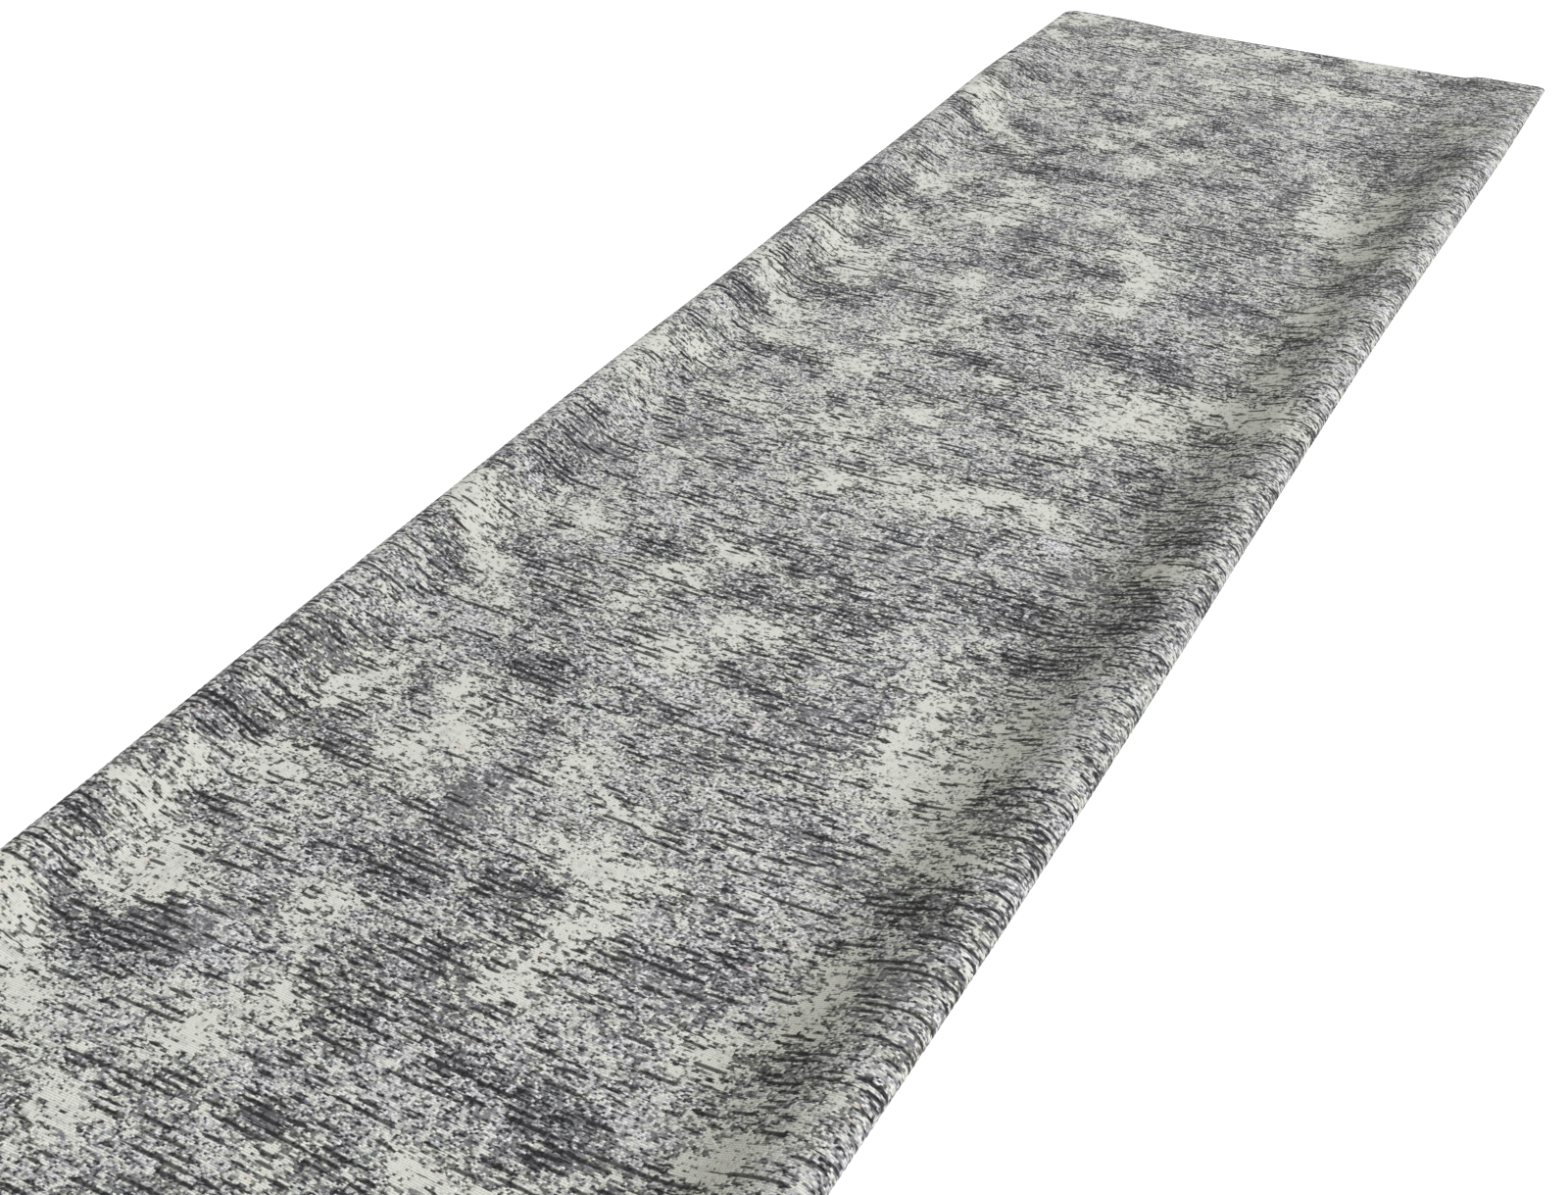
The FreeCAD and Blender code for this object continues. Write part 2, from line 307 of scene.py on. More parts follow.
def patchField(patches, flat):
    # bell-shaped patches, repeated along the rug: e to the minus squared distance in half widths and
    # half lengths, times the fall; where they overlap they add up to 1 at most
    width = 2 * rug["halfWidth"]
    u = flat[:, 0] + rug["halfWidth"]
    fromEnd = rug["halfLength"] - flat[:, 1]
    total = np.zeros(len(flat))
    for across, along, halfWidth, halfLength, turn in patches:
        du = u / width - across / 100
        dv = (fromEnd / width - along / 100 + patternRepeat / 2) % patternRepeat - patternRepeat / 2
        c, s = np.cos(np.radians(turn)), np.sin(np.radians(turn))
        p = (c * du + s * dv) / (halfWidth / 100)
        q = (c * dv - s * du) / (halfLength / 100)
        total += np.exp(-(p * p + q * q) * patchFall)
    return np.minimum(total, 1.0)


def paintPatches(piece, flat):
    # these fields become point attributes that the pile's material reads
    fields = {name: patchField(patches, flat) for name, patches in
              (("ivory", ivoryPatches), ("dark", darkPatches), ("plain", plainPatches))}
    # the mask of the painted shade: 1 halfway down the right-hand slope, easing to 0 at its crest and in the
    # field, and weak near the ends
    place = rug["halfWidth"] - flat[:, 0]
    fields["slope"] = ease((place - paintedSlopeShade["start"]) / paintedSlopeShade["rise"])
    fields["slope"] *= ease((paintedSlopeShade["end"] - place) / paintedSlopeShade["fall"])
    fields["slope"] *= paintedSlopeShade["pressed"] + (1 - paintedSlopeShade["pressed"]) * fullnessAt(flat[:, 1])
    for name, values in fields.items():
        layer = piece.data.attributes.new(name, "FLOAT", "POINT")
        layer.data.foreach_set("value", values.astype(np.float32))


def makeTree(name):
    material = bpy.data.materials.new(name)
    material.use_nodes = True
    material.node_tree.nodes.clear()
    return material, material.node_tree


def feed(tree, socket, value):
    if isinstance(value, bpy.types.NodeSocket):
        tree.links.new(value, socket)
    else:
        socket.default_value = value


def node(tree, kind, inputs, **settings):
    made = tree.nodes.new("ShaderNode" + kind)
    for key, value in settings.items():
        setattr(made, key, value)
    for key, value in inputs.items():
        feed(tree, made.inputs[key], value)
    return made


def math(tree, operation, a, b=0.0, c=0.0):
    return node(tree, "Math", {0: a, 1: b, 2: c}, operation=operation).outputs[0]


def addScaled(tree, base, value, scale, centre=0.5):
    # base + scale (value - centre)
    return math(tree, "MULTIPLY_ADD", value, scale, math(tree, "SUBTRACT", base, scale * centre))


def step(tree, value, low, high, toLow=0.0, toHigh=1.0):
    # a smooth step from low to high
    inputs = {"Value": value, "From Min": low, "From Max": high, "To Min": toLow, "To Max": toHigh}
    return node(tree, "MapRange", inputs, interpolation_type="SMOOTHSTEP").outputs[0]


def blend(tree, factor, a, b, blendType="MIX"):
    made = node(tree, "Mix", {}, data_type="RGBA", blend_type=blendType)
    for identifier, value in (("Factor_Float", factor), ("A_Color", a), ("B_Color", b)):
        feed(tree, next(s for s in made.inputs if s.identifier == identifier), value)
    return next(s for s in made.outputs if s.identifier == "Result_Color")


def at(tree, u, v, w=0.0):
    # the vector (u, v, w)
    return node(tree, "CombineXYZ", {0: u, 1: v, 2: w}).outputs[0]


def noise(tree, vector, detail=2.0, roughness=0.5):
    inputs = {"Vector": vector, "Scale": 1.0, "Detail": detail, "Roughness": roughness}
    return node(tree, "TexNoise", inputs).outputs[0]


def flatPlace(tree):
    # the flat cloth's own coordinates in millimetres, across and along
    source = node(tree, "UVMap", {}, uv_map="cloth").outputs[0]
    scaled = node(tree, "VectorMath", {0: source, "Scale": 1000.0}, operation="SCALE").outputs[0]
    split = node(tree, "SeparateXYZ", {0: scaled})
    return split.outputs[0], split.outputs[1]


def cloudNoise(tree, u, v, width, length, seed, detail=3.0, roughness=0.6):
    # noise in clouds of this width and length
    place = at(tree, math(tree, "DIVIDE", u, width), math(tree, "DIVIDE", v, length), seed)
    return noise(tree, place, detail, roughness)


rowStride = 17.37  # far enough in the noise that one row tells nothing about the next


def rowNoise(tree, u, v, width, pitch, seed, detail):
    # noise in runs of this width that starts afresh on each row of this pitch
    row = math(tree, "FLOOR", math(tree, "DIVIDE", v, pitch))
    place = at(tree, math(tree, "DIVIDE", u, width), math(tree, "MULTIPLY", row, rowStride), seed)
    return noise(tree, place, detail, 0.6)


def offMiddle(tree, v, pitch):
    # how far a place is from the middle of its row, as a share of the row's pitch
    place = math(tree, "FRACT", math(tree, "DIVIDE", v, pitch))
    return math(tree, "ABSOLUTE", math(tree, "SUBTRACT", place, 0.5))


def finishMaterial(made, color, roughness, bump, bumpDepth, constants):
    material, tree = made
    bumpNode = node(tree, "Bump", {"Height": bump, "Distance": bumpDepth, "Strength": 1.0})
    inputs = {"Base Color": color, "Roughness": roughness, "Normal": bumpNode.outputs[0]}
    inputs.update(constants)
    shader = node(tree, "BsdfPrincipled", inputs)
    node(tree, "OutputMaterial", {"Surface": shader.outputs[0]})
    return material


pile = {
    "pickPitch": 2.2,  # millimetres between single picks of weft
    "pairPitch": 4.4,
    "ribPitch": 8.8,
    "loopWidth": 2.55,
    "loopScatter": 0.6,
    "ivory": (0.625, 0.630, 0.580, 1.0),
    "paleGray": (0.64, 0.64, 0.65, 1.0),
    "middle": (0.220, 0.220, 0.230, 1.0),
    "olive": (0.150, 0.153, 0.130, 1.0),
    "deep": (0.050, 0.050, 0.054, 1.0),
    "charcoal": (0.012, 0.012, 0.013, 1.0),
    "plain": (0.190, 0.190, 0.203, 1.0),
    # the painted shade's color, multiplied in on the right-hand slope
    "slopeShadeTint": (0.65, 0.65, 0.62, 1.0),
    "roughness": 0.95,
    "bump": 0.0006,
    "sheen": {"Sheen Weight": 0.03, "Sheen Roughness": 0.6, "Specular IOR Level": 0.06},
}
pileClouds = {  # widths and lengths in millimetres
    "clouds": {"width": 48.0, "length": 30.0, "seed": 3.1, "detail": 4.0, "roughness": 0.65},
    "shade": {"width": 80.0, "length": 60.0, "seed": 7.7, "detail": 3.0, "roughness": 0.6},
}
pileRuns = {  # runs of one color along a rib, a pair of picks and a single pick
    "long": {"width": 26.0, "pitch": pile["ribPitch"], "seed": 9.2, "detail": 2.0},
    "streak": {"width": 12.0, "pitch": pile["pairPitch"], "seed": 1.7, "detail": 2.0},
    "fine": {"width": 5.5, "pitch": pile["pickPitch"], "seed": 4.4, "detail": 0.0},
}
usualLevel = {"ivory": 0.2, "dark": 0.2}  # what a source is centered on, 0.5 for all others
ivoryYarn = {
    "base": 0.5,
    "mix": {"ivory": 0.52, "dark": -0.17, "clouds": 1.1, "long": 0.7, "streak": 1.3, "fine": 0.5,
            "loop": 0.08},
    "edge": (0.73, 0.80), "nearEdge": (0.36, 0.62),
    "speckFine": -0.35, "speckEdge": (0.88, 0.98), "speck": 0.8, "lineEdge": (0.52, 0.40), "line": 0.22,
}
melange = {
    "base": 0.48,
    "mix": {"dark": -0.22, "field": 0.25, "shade": 0.8, "streak": 1.2, "fine": 1.0},
    "loop": -0.72, "paleEdge": (0.28, 0.74), "depth": -0.8, "deepEdge": (0.66, 0.90),
    "lowestTone": 0.66, "highestTone": 1.16,
}
plainGray = {
    "patch": 0.45, "mix": {"shade": -1.4, "streak": -1.2, "fine": -0.6},
    "edge": (0.20, 0.40), "most": 0.45,
}
longDashes = {
    "run": {"width": 32.0, "pitch": pile["ribPitch"], "seed": 15.8, "detail": 0.0},
    "mix": {"dark": 0.06, "shade": -0.35, "field": -0.14},
    "threshold": 0.55, "growth": 2.6, "thickest": 0.24, "edge": (-0.03, 0.07),
}
shortDashes = {
    "run": {"width": 9.0, "pitch": pile["pairPitch"], "seed": 27.4, "detail": 1.0},
    "mix": {"share": -0.14, "field": -0.10},
    "threshold": 0.60, "growth": 2.6, "thickest": 0.26, "edge": (-0.04, 0.10),
}
dashStrength = 0.86
pickGap = {"edge": (0.30, 0.5), "shade": 0.15, "dip": -0.4}
stains = [  # a few loops took up a little red, others a little green
    {"size": (22.0, 12.0), "seed": 21.0, "strength": 0.6, "tint": (1.0, 0.80, 0.76, 1.0)},
    {"size": (30.0, 18.0), "seed": 33.0, "strength": 0.5, "tint": (0.78, 0.95, 0.88, 1.0)},
]
stainEdge = (0.70, 0.78)


def addAll(tree, base, sources, weights):
    # base plus, for each named source, its weight times the source less its usual level
    for name, weight in weights.items():
        base = addScaled(tree, base, sources[name], weight, usualLevel.get(name, 0.5))
    return base


def dashesOf(tree, u, v, look, sources):
    # spindles: as thick as the noise is over its threshold, so that they taper at both ends
    level = addAll(tree, rowNoise(tree, u, v, **look["run"]), sources, look["mix"])
    reach = addScaled(tree, 0.0, level, look["growth"], look["threshold"])
    reach = math(tree, "MINIMUM", reach, look["thickest"])
    return step(tree, math(tree, "SUBTRACT", reach, offMiddle(tree, v, look["run"]["pitch"])), *look["edge"])


def loopPileMaterial():
    made = makeTree("loopPile")
    tree = made[1]
    u, v = flatPlace(tree)
    # point attributes: the dye patches, and slope, the mask of the painted shade on the right-hand slope
    sources = {name: node(tree, "Attribute", {}, attribute_name=name).outputs["Fac"]
               for name in ("ivory", "dark", "plain", "slope")}
    for name, look in pileClouds.items():
        sources[name] = cloudNoise(tree, u, v, **look)
    for name, look in pileRuns.items():
        sources[name] = rowNoise(tree, u, v, **look)
    # one cell per loop, with a level of its own
    cells = at(tree, math(tree, "DIVIDE", u, pile["loopWidth"]), math(tree, "DIVIDE", v, pile["pickPitch"]))
    loops = node(tree, "TexVoronoi", {"Vector": cells, "Scale": 1.0, "Randomness": pile["loopScatter"]},
                 voronoi_dimensions="2D")
    loopLevel, loopTint, loopTone = node(tree, "SeparateColor", {0: loops.outputs["Color"]}).outputs
    sources["loop"] = loopLevel

    # ivory yarn where the dye clouds are high, with an edge ragged by rows, dashes and loops
    field = addAll(tree, ivoryYarn["base"], sources, ivoryYarn["mix"])
    sources["field"] = field
    ivory = step(tree, field, *ivoryYarn["edge"])
    nearIvory = step(tree, field, *ivoryYarn["nearEdge"])

    # the melange around it: pale, middle and deep loops
    share = addAll(tree, melange["base"], sources, melange["mix"])
    sources["share"] = share
    paleness = step(tree, addScaled(tree, share, loopLevel, melange["loop"]), *melange["paleEdge"])
    depth = addScaled(tree, loopTint, share, melange["depth"])
    pale = blend(tree, nearIvory, pile["paleGray"], pile["ivory"])
    deep = blend(tree, nearIvory, pile["middle"], pile["olive"])
    deep = blend(tree, step(tree, depth, *melange["deepEdge"]), deep, pile["deep"])
    color = blend(tree, paleness, deep, pale)
    toneInputs = {"Value": loopTone, "To Min": melange["lowestTone"], "To Max": melange["highestTone"]}
    tone = node(tree, "MapRange", toneInputs).outputs[0]
    color = blend(tree, 1.0, color, at(tree, tone, tone, tone), "MULTIPLY")

    # plain gray patches show hardly any single loops
    plainness = math(tree, "MULTIPLY", sources["plain"], plainGray["patch"])
    plainness = step(tree, addAll(tree, plainness, sources, plainGray["mix"]), *plainGray["edge"])
    color = blend(tree, math(tree, "MULTIPLY", plainness, plainGray["most"]), color, pile["plain"])

    # on the ivory, thin gray lines and single darker loops
    speck = addScaled(tree, loopLevel, sources["fine"], ivoryYarn["speckFine"])
    speck = math(tree, "MULTIPLY", step(tree, speck, *ivoryYarn["speckEdge"]), ivoryYarn["speck"])
    line = math(tree, "MULTIPLY", step(tree, sources["streak"], *ivoryYarn["lineEdge"]), ivoryYarn["line"])
    ivoryTone = blend(tree, line, pile["ivory"], pile["middle"])
    ivoryTone = blend(tree, speck, ivoryTone, pile["olive"])
    color = blend(tree, ivory, color, ivoryTone)

    # dark dashes: long ones in the valleys between ribs, short thin ones on every pair of picks
    dashes = math(tree, "MAXIMUM", dashesOf(tree, u, v, longDashes, sources),
                  dashesOf(tree, u, v, shortDashes, sources))
    color = blend(tree, math(tree, "MULTIPLY", dashes, dashStrength), color, pile["charcoal"])

    # the gap between picks is in shade
    gap = step(tree, offMiddle(tree, v, pile["pickPitch"]), *pickGap["edge"])
    color = blend(tree, math(tree, "MULTIPLY", gap, pickGap["shade"]), color, pile["charcoal"])
    for stain in stains:
        spots = step(tree, cloudNoise(tree, u, v, *stain["size"], stain["seed"], 1.0), *stainEdge)
        spots = math(tree, "MULTIPLY", spots, stain["strength"])
        color = blend(tree, spots, color, stain["tint"], "MULTIPLY")
    # painted shade on the right-hand slope: the color there is multiplied darker and a little warmer
    color = blend(tree, sources["slope"], color, pile["slopeShadeTint"], "MULTIPLY")

    # each loop is a dome, and the gap between picks is lower
    dome = math(tree, "SUBTRACT", 1.0, loops.outputs["Distance"])
    height = math(tree, "MULTIPLY_ADD", gap, pickGap["dip"], dome)
    return finishMaterial(made, color, pile["roughness"], height, pile["bump"], pile["sheen"])


def deepened(color, shade):
    # the same color, darker by this factor
    return tuple(shade * channel for channel in color[:3]) + (1.0,)


plyTone = {"middle": 0.5, "swing": 0.25, "grain": 1.4}


def threadMaterial(name, color, look):
    # twisted yarn or a plain coat: a sine along slanting lines on the piece's own coordinates, with slubs
    made = makeTree(name)
    tree = made[1]
    u, v = flatPlace(tree)
    across = math(tree, "DIVIDE", u, look["across"])
    slant = math(tree, "ADD", across, math(tree, "DIVIDE", v, look["along"]))
    ply = math(tree, "SINE", math(tree, "MULTIPLY", slant, 2 * np.pi))
    grainPlace = at(tree, math(tree, "DIVIDE", u, look["grain"]), math(tree, "DIVIDE", v, look["grain"]))
    tone = math(tree, "MULTIPLY_ADD", ply, plyTone["swing"], plyTone["middle"])
    tone = addScaled(tree, tone, noise(tree, grainPlace), plyTone["grain"])
    shaded = blend(tree, step(tree, tone, 0.0, 1.0), deepened(color, look["shade"]), color)
    return finishMaterial(made, shaded, look["roughness"], tone, look["bump"], look.get("constants", {}))


weaveTone = {"crossing": 0.2, "slub": 1.2, "slubSeed": 2.0, "lowest": 0.1}


def weaveMaterial(name, color, look):
    # an open plain weave: warp and weft are absolute sines, and the sign of the two sines' product,
    # a checker, says which of them is on top
    made = makeTree(name)
    tree = made[1]
    u, v = flatPlace(tree)
    warpSine, weftSine = (
        math(tree, "SINE", math(tree, "MULTIPLY", math(tree, "DIVIDE", place, look["pitch"]), np.pi))
        for place in (u, v))
    warp = math(tree, "ABSOLUTE", warpSine)
    weft = math(tree, "ABSOLUTE", weftSine)
    checker = math(tree, "MULTIPLY", warpSine, weftSine)
    over = step(tree, checker, -weaveTone["crossing"], weaveTone["crossing"])
    height = node(tree, "Mix", {"Factor": over, "A": warp, "B": weft}).outputs[0]
    slubs = cloudNoise(tree, u, v, look["slub"], look["slub"], weaveTone["slubSeed"])
    tone = addScaled(tree, height, slubs, weaveTone["slub"])
    shaded = blend(tree, step(tree, tone, weaveTone["lowest"], 1.0), deepened(color, look["shade"]), color)
    return finishMaterial(made, shaded, look["roughness"], height, look["bump"], look.get("constants", {}))


# pitches, slubs and grain in millimetres
yarnLook = {"across": 2.0, "along": 1.6, "grain": 1.5, "shade": 0.45, "roughness": 0.85, "bump": 0.0002,
            "constants": {"Sheen Weight": 0.3, "Sheen Roughness": 0.5}}
latexLook = {"across": 9.0, "along": 23.0, "grain": 3.0, "shade": 0.8, "roughness": 0.45, "bump": 0.0002}
scrimLook = {"pitch": 2.4, "slub": 14.0, "shade": 0.35, "roughness": 0.9, "bump": 0.0005}
groundLook = {"pitch": 1.6, "slub": 9.0, "shade": 0.5, "roughness": 0.9, "bump": 0.0003}
labelLook = {"pitch": 0.5, "slub": 6.0, "shade": 0.8, "roughness": 0.55, "bump": 0.0001,
             "constants": {"Sheen Weight": 0.2, "Sheen Roughness": 0.4}}
colors = {
    "ground": (0.50, 0.48, 0.43, 1.0), "latex": (0.70, 0.68, 0.60, 1.0), "scrim": (0.58, 0.53, 0.43, 1.0),
    "whipping": (0.34, 0.34, 0.36, 1.0), "tack": (0.62, 0.60, 0.55, 1.0), "label": (0.80, 0.80, 0.78, 1.0),
}

loopPile = loopPileMaterial()
groundWeave = weaveMaterial("groundWeave", colors["ground"], groundLook)
latex = threadMaterial("latex", colors["latex"], latexLook)
scrimWeave = weaveMaterial("scrimWeave", colors["scrim"], scrimLook)
whipYarn = threadMaterial("whipYarn", colors["whipping"], yarnLook)
tackThread = threadMaterial("tackThread", colors["tack"], yarnLook)
labelWeave = weaveMaterial("labelWeave", colors["label"], labelLook)
print("materials made")


def addPiece(piece, nodeName, material):
    piece.data.materials.append(material)
    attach(piece, "root")
    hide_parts(nodeName)
    print(piece.name, len(piece.data.polygons), "faces")
    return piece


loopRelief = {
    "ribPitch": 8.8 * mm, "rowsPerRib": 3, "depth": 0.45 * mm,
    "backSkip": 9,  # the hidden back has one row for this many face rows
    "wander": 0.35,
    "wanderWaves": [(41, 23, 0), (67, -31, 1)],  # radians per metre across and along, and the phase
}


def ribDip(flat):
    # each rib is one wave along the rug, half of one minus the cosine of its turn, made deeper and
    # shallower from place to place by the product of two slow sines
    x, y = flat[..., 0], flat[..., 1]
    turns = 2 * np.pi * y / loopRelief["ribPitch"]
    first, second = (np.sin(a * x + b * y + phase) for a, b, phase in loopRelief["wanderWaves"])
    wander = first * second
    return loopRelief["depth"] * (0.5 - 0.5 * np.cos(turns)) * (1 + loopRelief["wander"] * wander)


def loopFace():
    end = rug["halfLength"] - rug["whipReach"]
    skip = loopRelief["backSkip"]
    rows = int(round(2 * end / (loopRelief["ribPitch"] / loopRelief["rowsPerRib"]) / skip)) * skip + 1
    along = np.linspace(-end, end, rows)
    flat = clothSurface(along, 0.0, rug["whipReach"])[1]
    face, faceFlat = clothSurface(along, ribDip(flat), rug["whipReach"])
    back, backFlat = clothSurface(along[::skip], rug["groundDepth"], rug["whipReach"])
    piece = closedSheet("loopFace", face, faceFlat, back, backFlat, skip)
    paintPatches(piece, np.concatenate([faceFlat.reshape(-1, 2), backFlat.reshape(-1, 2)]))
    return piece


layerRows = 181


def layer(name, top, bottom, setback):
    # one inner layer, a closed sheet between two depths
    end = rug["halfLength"] - setback
    along = np.linspace(-end, end, layerRows)
    return closedSheet(name, *clothSurface(along, top, setback), *clothSurface(along, bottom, setback))


whip = {
    "yarn": 1.5 * mm, "endPitch": 1.8 * mm, "flapPitch": 2.6 * mm,
    "squareness": 0.6,  # 1 for round turns, less for squarer ones
    "steps": 12, "sides": 6,
}


def squared(wave):
    return np.sign(wave) * np.abs(wave) ** whip["squareness"]


def whipTurns(turns):
    # yarn round a cut edge, as share of the way, distance in from the edge and depth: a rounded oblong,
    # the cosine and the sine of the turn each raised to the squareness
    angle = 2 * np.pi * np.arange(turns * whip["steps"] + 1) / whip["steps"]
    radius = whip["yarn"] / 2
    halfReach = rug["whipReach"] / 2
    inward = halfReach + (halfReach - radius) * squared(np.cos(angle))
    depth = halfCloth + (halfCloth - radius) * squared(np.sin(angle))
    return angle / angle[-1], inward, depth


def endWhipping(name, hand):
    # the turns move along the cross-section, from one flap's edge to the other, between the section at
    # the cut end and the section at the whipping's inner line
    edge = rug["halfLength"]
    radius = whip["yarn"] / 2
    x, z, across = clothMiddle(hand * np.array([edge, edge - rug["whipReach"]]), 0.0)
    nx, nz = faceNormal(x, z)
    length = across[1, -1] - across[1, 0]
    share, inward, depth = whipTurns(int(length / whip["endPitch"]))
    margin = radius / length
    walk = margin + share * (1 - 2 * margin)
    own = (across - across[:, :1]) / (across[:, -1:] - across[:, :1])
    values = [[np.interp(walk, own[row], value[row]) for value in (x, z, nx, nz)] for row in (0, 1)]
    mix = (inward / rug["whipReach"])[None, :]
    px, pz, qx, qz = np.array(values[0]) * (1 - mix) + np.array(values[1]) * mix
    lift = halfCloth - depth
    path = np.stack([px + lift * qx, hand * (edge - inward), pz + lift * qz], axis=-1)
    return yarnTube(name, path, radius, whip["sides"], np.stack([qz, 0 * qx, -qx], axis=-1))


def flapWhipping(name, side):
    # the same oblong turns, moving straight along a flap's long edge
    end = rug["halfLength"] - rug["whipReach"]
    radius = whip["yarn"] / 2
    share, inward, depth = whipTurns(int(2 * end / whip["flapPitch"]))
    x = side["hand"] * (rug["halfWidth"] - side["flap"] + inward)
    y = (2 * share - 1) * (end - radius)
    path = np.stack([x, y, depth], axis=-1)
    return yarnTube(name, path, radius, whip["sides"], np.tile([0.0, 1.0, 0.0], (len(y), 1)))


tack = {
    "diameter": 1.2 * mm, "pitch": 50 * mm,
    "reach": 1025 * mm,  # from the rug's middle to the last tack
    "inFromEdge": 2.4 * mm, "sides": 8,
    "levels": [0.0, 0.15, 0.5, 0.85, 1.0],  # knotted near both ends and waisted halfway
    "thickness": [0.8, 1.0, 0.7, 1.0, 0.8],
}


def hemTacks(name, side):
    # short columns between the flap and the cloth over it: rings whose radius is the thread's times the
    # thickness at that level
    place = side["flap"] - tack["inFromEdge"]
    along = np.arange(-tack["reach"], tack["reach"] + tack["pitch"] / 2, tack["pitch"])
    low = rug["cloth"]
    rise = riseOf(side, np.full_like(along, place + tack["diameter"] / 2), fullnessAt(along), along)
    level = np.array(tack["levels"])
    radius = tack["diameter"] / 2 * np.array(tack["thickness"])
    angle = 2 * np.pi * np.arange(tack["sides"]) / tack["sides"]
    x = side["hand"] * (rug["halfWidth"] - place) + radius[None, :, None] * np.cos(angle)
    y = along[:, None, None] + radius[None, :, None] * np.sin(angle)
    z = low + level[None, :, None] * (rise - low)[:, None, None] + 0 * y
    points = np.stack(np.broadcast_arrays(x, y, z), axis=-1).reshape(-1, 3)
    rings, sides = len(level), tack["sides"]
    faces = [corners for start in range(0, len(points), rings * sides)
             for corners in ringFaces(rings, sides, start)]
    flat = np.stack([np.tile(angle * tack["diameter"] / 2, len(along) * rings), points[:, 2]], axis=-1)
    return makeMesh(name, points, faces, flat)


label = {
    "box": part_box("care_label"), "hemWidth": 2 * mm, "hemThinning": 0.12 * mm, "undersideShare": 0.5,
    "rows": 17, "cols": 25,
}


def careLabel():
    # a woven tape in the cloth's back, inside the backing scrim because that has no pocket for it: two
    # flat grids that come a little closer together near the edges, by the ease of the way in from them
    low, high = label["box"]
    across = np.linspace(low[0], high[0], label["cols"])
    along = np.linspace(low[1], high[1], label["rows"])
    y, x = np.meshgrid(along, across, indexing="ij")
    fromEdge = np.minimum(np.minimum(x - low[0], high[0] - x), np.minimum(y - low[1], high[1] - y))
    thin = label["hemThinning"] * (1 - ease(fromEdge / label["hemWidth"]))
    flat = np.stack([x, y], axis=-1)
    top = np.stack([x, y, high[2] - thin], axis=-1)
    bottom = np.stack([x, y, low[2] + thin * label["undersideShare"]], axis=-1)
    return closedSheet("careLabel", top, flat, bottom, flat)


stitch = {
    "box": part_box("care_label_stitches"), "pitch": 5 * mm, "length": 3 * mm, "count": 8,
    "rings": 7, "sides": 6, "tipLoss": 0.85,
}


def labelStitches():
    # two rows of short stitches under the label's short ends: flat oval bars whose thickness is the root
    # of one minus the loss at the tips times the fourth power of the way from the middle to a tip
    low, high = stitch["box"]
    radius = (high[2] - low[2]) / 2
    middle = (low[1] + high[1]) / 2
    along = middle + (np.arange(stitch["count"]) - (stitch["count"] - 1) / 2) * stitch["pitch"]
    rows = np.array([low[0] + radius * 2, high[0] - radius * 2])
    level = np.linspace(-0.5, 0.5, stitch["rings"])
    thick = np.sqrt(1 - (2 * level) ** 4 * stitch["tipLoss"])
    angle = 2 * np.pi * np.arange(stitch["sides"]) / stitch["sides"]
    shape = (2, stitch["count"], len(level), stitch["sides"])
    x = rows[:, None, None, None] + 2 * radius * thick[None, None, :, None] * np.cos(angle)
    y = along[None, :, None, None] + stitch["length"] * level[None, None, :, None]
    z = low[2] + radius + radius * thick[None, None, :, None] * np.sin(angle)
    points = np.stack([np.broadcast_to(a, shape) for a in (x, y, z)], axis=-1).reshape(-1, 3)
    rings, sides = stitch["rings"], stitch["sides"]
    faces = [corners for start in range(0, len(points), rings * sides)
             for corners in ringFaces(rings, sides, start, flip=True)]
    return makeMesh("careLabelStitches", points, faces, points[:, :2].copy())


face = addPiece(loopFace(), "loop_face", loopPile)
ground = addPiece(layer("groundCloth", rug["groundDepth"], rug["latexDepth"], rug["whipCap"]),
                  "ground_cloth", groundWeave)
coat = addPiece(layer("latexCoat", rug["latexDepth"], rug["scrimDepth"], rug["whipCap"]),
                "latex_coat", latex)
scrim = addPiece(layer("backingScrim", rug["scrimDepth"], rug["cloth"], rug["whipReach"]),
                 "backing_scrim", scrimWeave)
addPiece(endWhipping("endWhippingNear", -1), "end_whipping_near", whipYarn)
addPiece(endWhipping("endWhippingFar", 1), "end_whipping_far", whipYarn)
addPiece(flapWhipping("flapWhippingLeft", leftSide), "flap_whipping_left", whipYarn)
addPiece(flapWhipping("flapWhippingRight", rightSide), "flap_whipping_right", whipYarn)
addPiece(hemTacks("hemTacksLeft", leftSide), "hem_tacks_left", tackThread)
addPiece(hemTacks("hemTacksRight", rightSide), "hem_tacks_right", tackThread)
labelPiece = addPiece(careLabel(), "care_label", labelWeave)
addPiece(labelStitches(), "care_label_stitches", tackThread)

print("rug made")


floorLook = {
    "half": 30.0, "level": -0.3 * mm, "grain": 3.0, "roughness": 0.9, "bump": 0.0001,
    "colors": [(0.90, 0.90, 0.90, 1.0), (0.92, 0.92, 0.92, 1.0)],
    "constants": {"Specular IOR Level": 0.1, "Emission Color": (1.0, 1.0, 1.0, 1.0),
                  "Emission Strength": 0.25},
}


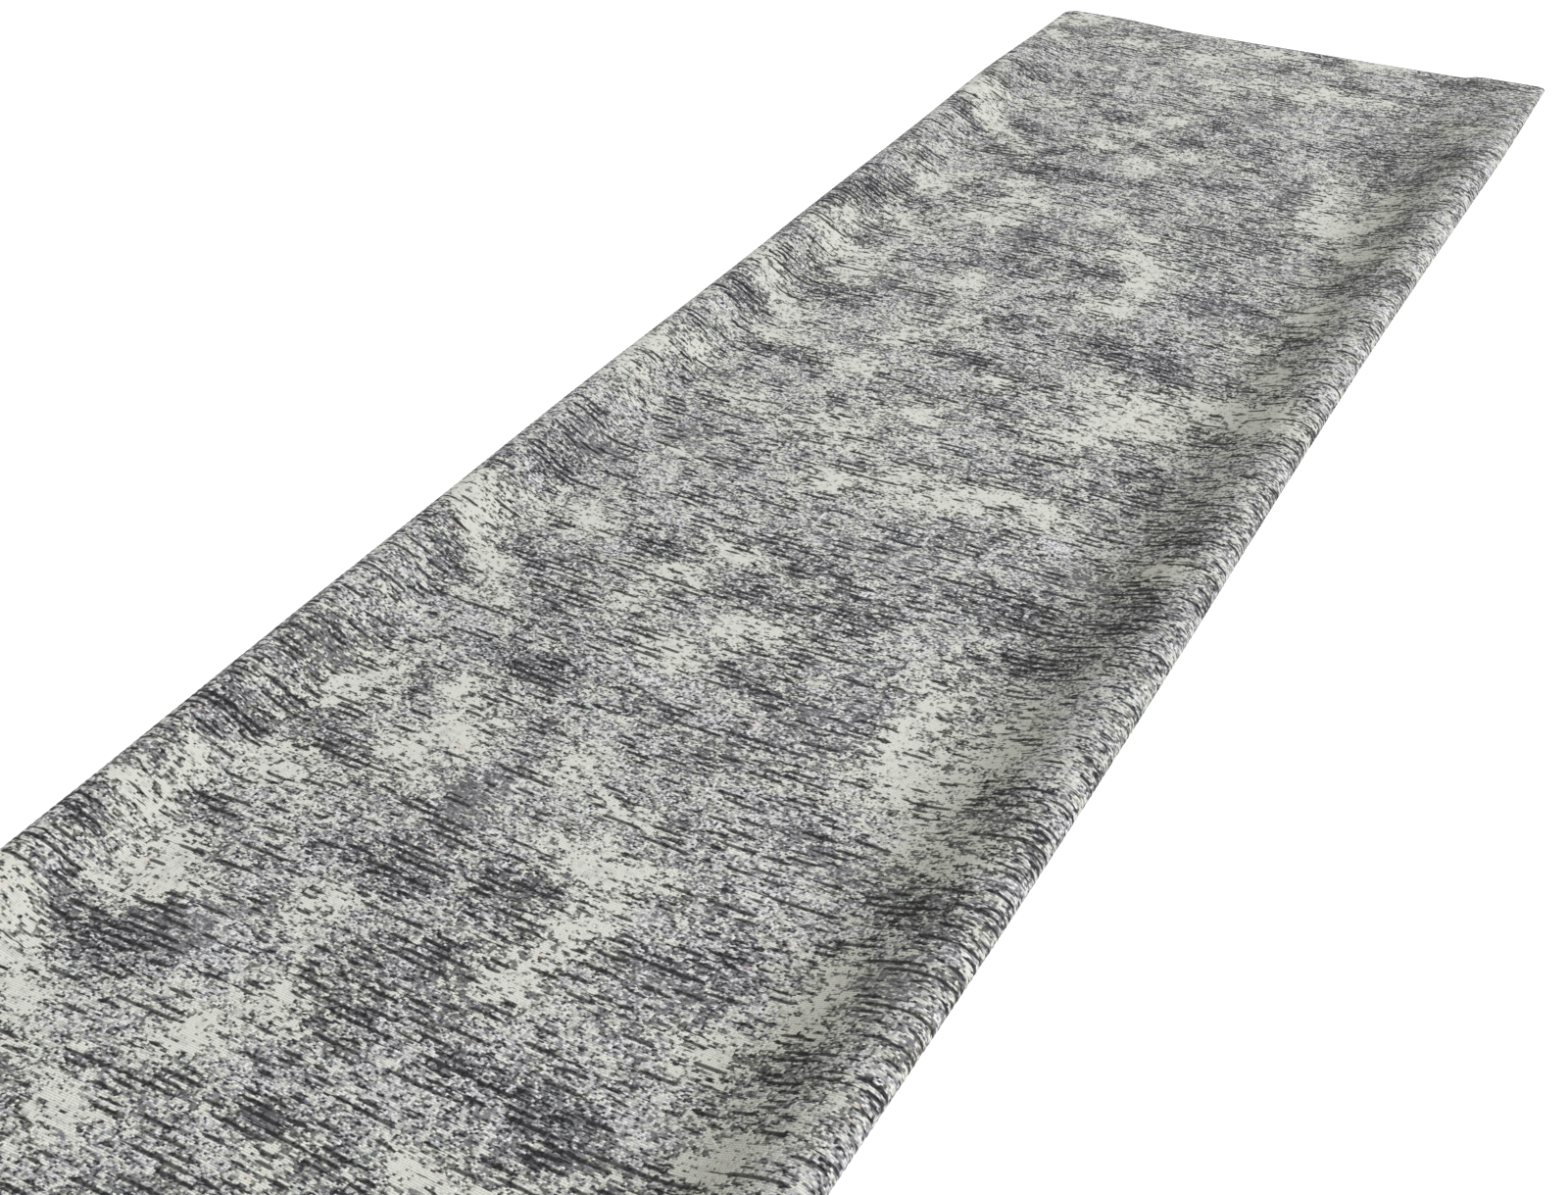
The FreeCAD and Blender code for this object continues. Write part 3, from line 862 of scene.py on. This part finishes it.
def paleFloor():
    made = makeTree("paleFloor")
    tree = made[1]
    place = node(tree, "TexCoord", {}).outputs["Object"]
    place = node(tree, "VectorMath", {0: place, "Scale": floorLook["grain"]}, operation="SCALE").outputs[0]
    grain = noise(tree, place)
    color = blend(tree, grain, *floorLook["colors"])
    roughness, bump = floorLook["roughness"], floorLook["bump"]
    return finishMaterial(made, color, roughness, grain, bump, floorLook["constants"])


floorMesh = bpy.data.meshes.new("floor")
half, level = floorLook["half"], floorLook["level"]
floorCorners = [(-half, -half, level), (half, -half, level), (half, half, level), (-half, half, level)]
floorMesh.from_pydata(floorCorners, [], [(0, 1, 2, 3)])
floor = bpy.data.objects.new("floor", floorMesh)
bpy.context.scene.collection.objects.link(floor)
floor.data.materials.append(paleFloor())

# soft light from all round, and one large panel from the right
studio = {"worldStrength": 0.63, "keyPlace": (6.5, 1.5, 8.5), "keySize": 5.0, "keyPower": 900}
world = bpy.data.worlds.new("studio")
bpy.context.scene.world = world
world.use_nodes = True
background = world.node_tree.nodes["Background"]
background.inputs["Color"].default_value = (1.0, 1.0, 1.0, 1.0)
background.inputs["Strength"].default_value = studio["worldStrength"]

key = bpy.data.lights.new("keyPanel", "AREA")
key.shape = "SQUARE"
key.size = studio["keySize"]
key.energy = studio["keyPower"]
keyLamp = bpy.data.objects.new("keyPanel", key)
keyLamp.location = studio["keyPlace"]
keyLamp.rotation_euler = (-Vector(studio["keyPlace"])).to_track_quat("-Z", "Y").to_euler()
bpy.context.scene.collection.objects.link(keyLamp)

# the camera stands beyond the near end, on the right, and looks back along the rug
view = {"place": (0.860, -1.951, 1.241), "heading": (-0.3849, 0.7365, -0.5562), "lens": 50, "sensor": 36}
cameraData = bpy.data.cameras.new("camera")
cameraData.lens = view["lens"]
cameraData.sensor_width = view["sensor"]
camera = bpy.data.objects.new("camera", cameraData)
camera.location = view["place"]
camera.rotation_euler = Vector(view["heading"]).to_track_quat("-Z", "Y").to_euler()
bpy.context.scene.collection.objects.link(camera)
bpy.context.scene.camera = camera
bpy.context.scene.view_settings.view_transform = "Standard"
print("studio ready")
